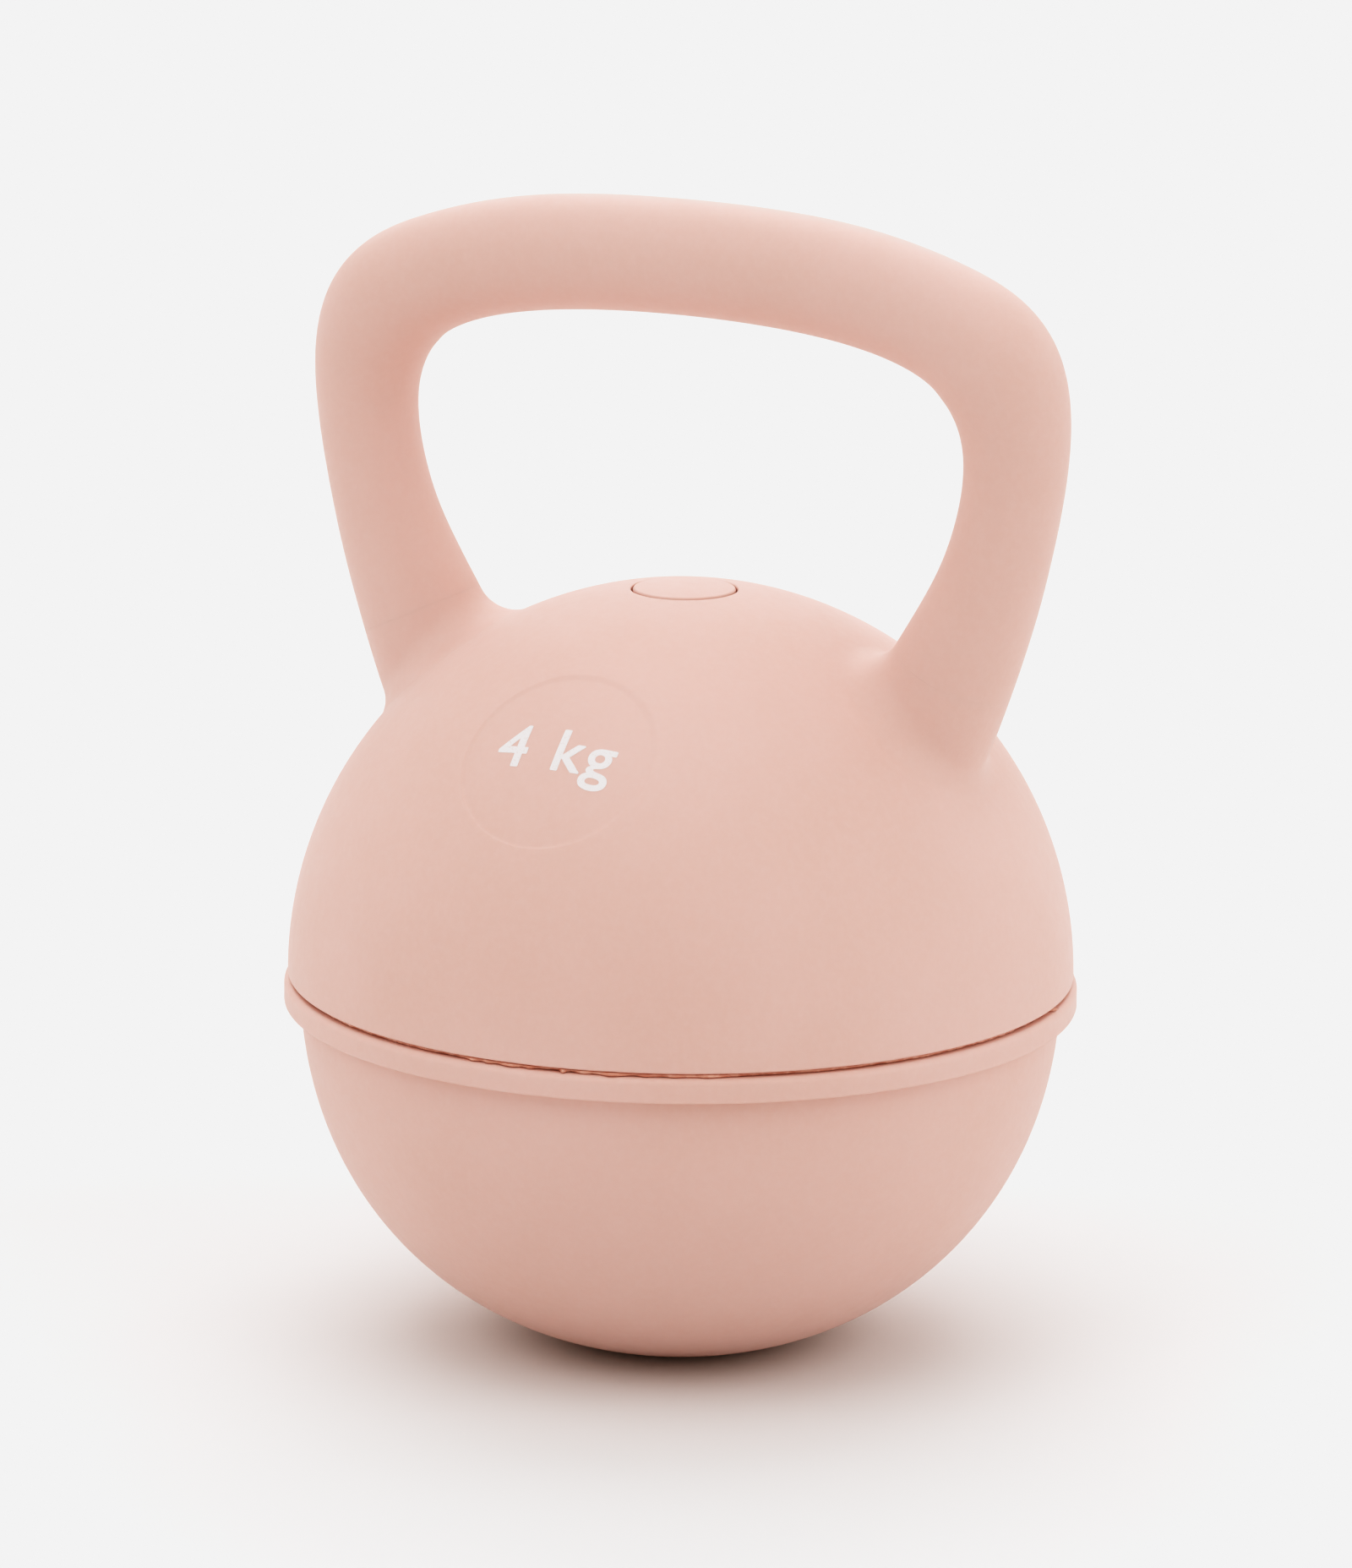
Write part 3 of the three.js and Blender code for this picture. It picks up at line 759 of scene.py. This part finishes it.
class Shader:
    """Builds one node material: node(kind, inputs) adds a node, and link joins two sockets."""

    def __init__(self, name):
        self.material = bpy.data.materials.new(name)
        self.material.use_nodes = True
        self.tree = self.material.node_tree
        self.bsdf = self.tree.nodes["Principled BSDF"]
        self.place = self.node("ShaderNodeTexCoord").outputs["Object"]

    def node(self, kind, inputs=None, **settings):
        made = self.tree.nodes.new(kind)
        for key, value in settings.items():
            setattr(made, key, value)
        for key, value in (inputs or {}).items():
            self.put(made.inputs[key], value)
        return made

    def put(self, socket, value):
        if isinstance(value, bpy.types.NodeSocket):
            self.tree.links.new(value, socket)
        else:
            socket.default_value = value

    def surface(self, **inputs):
        for key, value in inputs.items():
            self.put(self.bsdf.inputs[key.replace("_", " ")], value)

    def noise(self, size, detail=2.0, roughness=0.5):
        """Smooth noise from 0 to 1, with features about as large as size."""
        inputs = {"Vector": self.place, "Scale": 1 / size, "Detail": detail, "Roughness": roughness}
        return self.node("ShaderNodeTexNoise", inputs).outputs["Fac"]

    def ramp(self, factor, *stops):
        """A value from stops of (position, value)."""
        node = self.node("ShaderNodeValToRGB", {"Fac": factor})
        ramp = node.color_ramp
        for i, (position, value) in enumerate(stops):
            element = ramp.elements[i] if i < 2 else ramp.elements.new(position)
            element.position = position
            element.color = value if isinstance(value, tuple) else (value, value, value, 1)
        return node.outputs["Color"]

    def mix(self, factor, a, b):
        node = self.node("ShaderNodeMix", data_type="RGBA")
        self.put(node.inputs[0], factor)
        self.put(node.inputs[6], a)
        self.put(node.inputs[7], b)
        return node.outputs[2]

    def bump(self, height, distance, strength=1.0, normal=None):
        inputs = {"Height": height, "Distance": distance, "Strength": strength}
        if normal is not None:
            inputs["Normal"] = normal
        return self.node("ShaderNodeBump", inputs).outputs["Normal"]


def linear(red, green, blue):
    """A colour from 0 to 255 values as they look on a screen."""
    share = [v / 255 for v in (red, green, blue)]
    return tuple(v / 12.92 if v <= 0.04045 else ((v + 0.055) / 1.055) ** 2.4 for v in share) + (1.0,)


def pvc_material():
    shader = Shader("pink_pvc")
    patches = shader.ramp(shader.noise(45 * MM, detail=3), (0.35, 0.0), (0.65, 1.0))
    colour = shader.mix(patches, linear(221, 181, 173), linear(224, 185, 178))
    bloom = shader.ramp(shader.noise(1.6 * MM, detail=4, roughness=0.7), (0.4, 0.0), (0.75, 1.0))
    colour = shader.mix(shader.ramp(bloom, (0.0, 0.0), (1.0, 0.25)), colour, linear(229, 195, 189))
    roughness = shader.ramp(shader.noise(3 * MM, detail=4), (0.3, 0.5), (0.7, 0.6))
    waves = shader.bump(shader.noise(28 * MM, detail=1), 0.12 * MM)
    grain = shader.bump(shader.noise(0.35 * MM, detail=2), 0.006 * MM, normal=waves)
    shader.surface(
        Base_Color=colour,
        Roughness=roughness,
        Normal=grain,
        Sheen_Weight=0.1,
        Sheen_Roughness=0.5,
        Sheen_Tint=(1.0, 0.95, 0.93, 1.0),
        Specular_IOR_Level=0.42,
        Subsurface_Weight=0.1,
        Subsurface_Radius=(1.0, 0.45, 0.35),
        Subsurface_Scale=2.0 * MM,
    )
    return shader.material


def glue_material():
    shader = Shader("seam_glue")
    cloud = shader.noise(2.5 * MM, detail=3)
    patches = shader.ramp(cloud, (0.35, 0.0), (0.65, 1.0))
    colour = shader.mix(patches, linear(198, 134, 118), linear(216, 164, 149))
    shader.surface(
        Base_Color=colour,
        Roughness=shader.ramp(cloud, (0.3, 0.16), (0.7, 0.34)),
        Normal=shader.bump(shader.noise(0.9 * MM, detail=3), 0.12 * MM),
        Coat_Weight=0.4,
        Coat_Roughness=0.15,
    )
    return shader.material


def steel_material():
    shader = Shader("core_steel")
    cloud = shader.noise(7 * MM, detail=4)
    shader.surface(
        Base_Color=shader.mix(cloud, linear(150, 153, 157), linear(192, 194, 196)),
        Metallic=1.0,
        Roughness=shader.ramp(cloud, (0.3, 0.28), (0.7, 0.5)),
        Normal=shader.bump(shader.noise(0.5 * MM, detail=3), 0.01 * MM),
    )
    return shader.material


def stopper_material():
    shader = Shader("stopper_plastic")
    cloud = shader.noise(5 * MM, detail=3)
    shader.surface(
        Base_Color=shader.mix(cloud, linear(228, 224, 216), linear(238, 235, 229)),
        Roughness=shader.ramp(cloud, (0.3, 0.42), (0.7, 0.55)),
        Normal=shader.bump(shader.noise(0.6 * MM), 0.01 * MM),
    )
    return shader.material


def sand_material():
    shader = Shader("iron_sand")
    cells = shader.node("ShaderNodeTexVoronoi", {"Vector": shader.place, "Scale": 1 / (0.8 * MM)})
    shader.surface(
        Base_Color=shader.mix(cells.outputs["Color"], linear(58, 54, 51), linear(118, 110, 103)),
        Metallic=0.3,
        Roughness=shader.ramp(shader.noise(1 * MM), (0.3, 0.5), (0.7, 0.85)),
        Normal=shader.bump(cells.outputs["Distance"], 0.4 * MM),
    )
    return shader.material


def ink_material():
    shader = Shader("mark_ink")
    pores = shader.ramp(shader.noise(0.5 * MM, detail=3, roughness=0.6), (0.3, 0.0), (0.42, 1.0))
    shader.surface(
        Base_Color=shader.mix(pores, linear(226, 213, 211), linear(234, 229, 229)),
        Roughness=shader.ramp(shader.noise(1.2 * MM, detail=3), (0.3, 0.4), (0.7, 0.55)),
        Normal=shader.bump(shader.noise(0.35 * MM), 0.006 * MM),
    )
    return shader.material


# ---------------------------------------------------------------- Stage, light and camera

CAMERA_DISTANCE = 1.8178  # from the ball's centre
CAMERA_AZIMUTH = math.radians(26.638)
CAMERA_ELEVATION = math.radians(14.814)
CAMERA_TILT = math.radians(13.560)  # how far the camera looks down
CAMERA_YAW = math.radians(-0.045)
CAMERA_ROLL = math.radians(0.5375)
LENS_MM = 193.63
SENSOR_MM = 36


def add_camera():
    to_camera = Vector((0, -math.cos(CAMERA_ELEVATION), math.sin(CAMERA_ELEVATION)))
    level = math.cos(CAMERA_TILT)
    look = Vector((math.sin(CAMERA_YAW) * level, math.cos(CAMERA_YAW) * level, -math.sin(CAMERA_TILT)))
    turn = Matrix.Rotation(CAMERA_AZIMUTH, 3, "Z")
    look = turn @ look
    right = look.cross(Vector((0, 0, 1))).normalized()
    up = right.cross(look)
    rolled_right = right * math.cos(CAMERA_ROLL) + up * math.sin(CAMERA_ROLL)
    rolled_up = up * math.cos(CAMERA_ROLL) - right * math.sin(CAMERA_ROLL)
    axes = Matrix((rolled_right, rolled_up, -look)).transposed().to_4x4()
    axes.translation = Vector(CENTRE) + turn @ to_camera * CAMERA_DISTANCE
    data = bpy.data.cameras.new("camera")
    data.lens = LENS_MM
    data.sensor_width = SENSOR_MM
    camera = bpy.data.objects.new("camera", data)
    camera.matrix_world = axes
    bpy.context.scene.collection.objects.link(camera)
    bpy.context.scene.camera = camera


def floor_material():
    shader = Shader("studio_floor")
    cloud = shader.noise(120 * MM, detail=2)
    shader.surface(
        Base_Color=shader.mix(cloud, (0.8, 0.8, 0.8, 1), (0.805, 0.805, 0.805, 1)),
        Roughness=0.9,
        Specular_IOR_Level=0.0,
    )
    return shader.material


# The soft lights round the object: name, azimuth from -Y towards +X and elevation in degrees, and strength.
# The strengths are rounded from a least-squares fit to the photo's brightness.
LIGHT_SPREAD = 55
LIGHTS = [
    ("overhead", 0, 90, 0.65),
    ("right", 87, 25, 1.2),
    ("back_right", 147, 25, 0.8),
    ("back_left", 207, 25, 0.95),
    ("high_back_left", 207, 58, 0.95),
    ("left", 267, 25, 0.7),
    ("front_left", 327, 25, 0.8),
    ("high_front_left", 327, 58, 0.4),
    ("high_front_right", 27, 58, 0.6),
]

# The picture's tone: a film-like curve from scene brightness to shown brightness, level from brightness 1 on,
# which the bare floor reaches.
FLOOR_SHOWN = 0.896
TONE_CONTRASTS = (1.62, 1.7, 1.8)  # red, green and blue: shadows are a little warm
TONE_SHOULDER = 0.54
TONE_STEPS = (0.05, 0.12, 0.25, 0.4, 0.55, 0.7, 0.85)
WORLD_STRENGTH = 0.01
FLOOR_HALF_WIDTH = 12.0


def add_stage():
    half = FLOOR_HALF_WIDTH
    corners = [(-half, -half, 0), (half, -half, 0), (half, half, 0), (-half, half, 0)]
    floor = object_from("studio_floor", corners, [(0, 1, 2, 3)])
    floor.data.materials.append(floor_material())
    world = bpy.data.worlds.new("studio")
    world.use_nodes = True
    background = world.node_tree.nodes["Background"]
    background.inputs["Color"].default_value = (1, 1, 1, 1)
    background.inputs["Strength"].default_value = WORLD_STRENGTH
    bpy.context.scene.world = world


def shown(brightness, contrast):
    rise = brightness**contrast
    return FLOOR_SHOWN * rise * (1 + TONE_SHOULDER) / (rise + TONE_SHOULDER)


def set_tone():
    view = bpy.context.scene.view_settings
    view.view_transform = "Standard"
    view.use_curve_mapping = True
    mapping = view.curve_mapping
    mapping.extend = "HORIZONTAL"
    for curve, contrast in zip(mapping.curves, TONE_CONTRASTS):
        curve.points[-1].location = (1, FLOOR_SHOWN)
        for brightness in TONE_STEPS:
            curve.points.new(brightness, shown(brightness, contrast))
    mapping.update()


def add_lights():
    for name, azimuth, elevation, strength in LIGHTS:
        data = bpy.data.lights.new(name, "SUN")
        data.energy = strength
        data.angle = math.radians(LIGHT_SPREAD)
        light = new_object(name, data)
        a, e = math.radians(azimuth), math.radians(elevation)
        towards = Vector((math.sin(a) * math.cos(e), -math.cos(a) * math.cos(e), math.sin(e)))
        light.rotation_euler = towards.to_track_quat("Z", "Y").to_euler()


# ---------------------------------------------------------------- Assembly


def place(piece, material, slot, body, *nodes):
    piece.data.materials.clear()
    piece.data.materials.append(material)
    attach(piece, body)
    if nodes:
        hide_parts(*nodes)


def restyle(node, material):
    node_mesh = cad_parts[node].data
    node_mesh.materials.clear()
    node_mesh.materials.append(material)


add_camera()
add_stage()
add_lights()
set_tone()

pvc = pvc_material()
steel = steel_material()
stopper = stopper_material()

shell, handle = upper_shell_and_handle()
place(shell, pvc, "pink_pvc", "kettlebell", "upper_shell")
place(handle, pvc, "pink_pvc", "kettlebell", "handle_skin")
place(lower_shell(), pvc, "pink_pvc", "kettlebell", "lower_shell")
place(weight_mark(), ink_material(), "mark_ink", "kettlebell")
place(seam_adhesive(), glue_material(), "seam_glue", "kettlebell", "seam_adhesive")
place(filler_plug(), pvc, "pink_pvc", "plug", "filler_plug")
for node in ("handle_core", "core_washer_left", "core_washer_right"):
    restyle(node, steel)
for node in ("core_plug_left", "core_plug_right"):
    restyle(node, stopper)
restyle("iron_fill", sand_material())
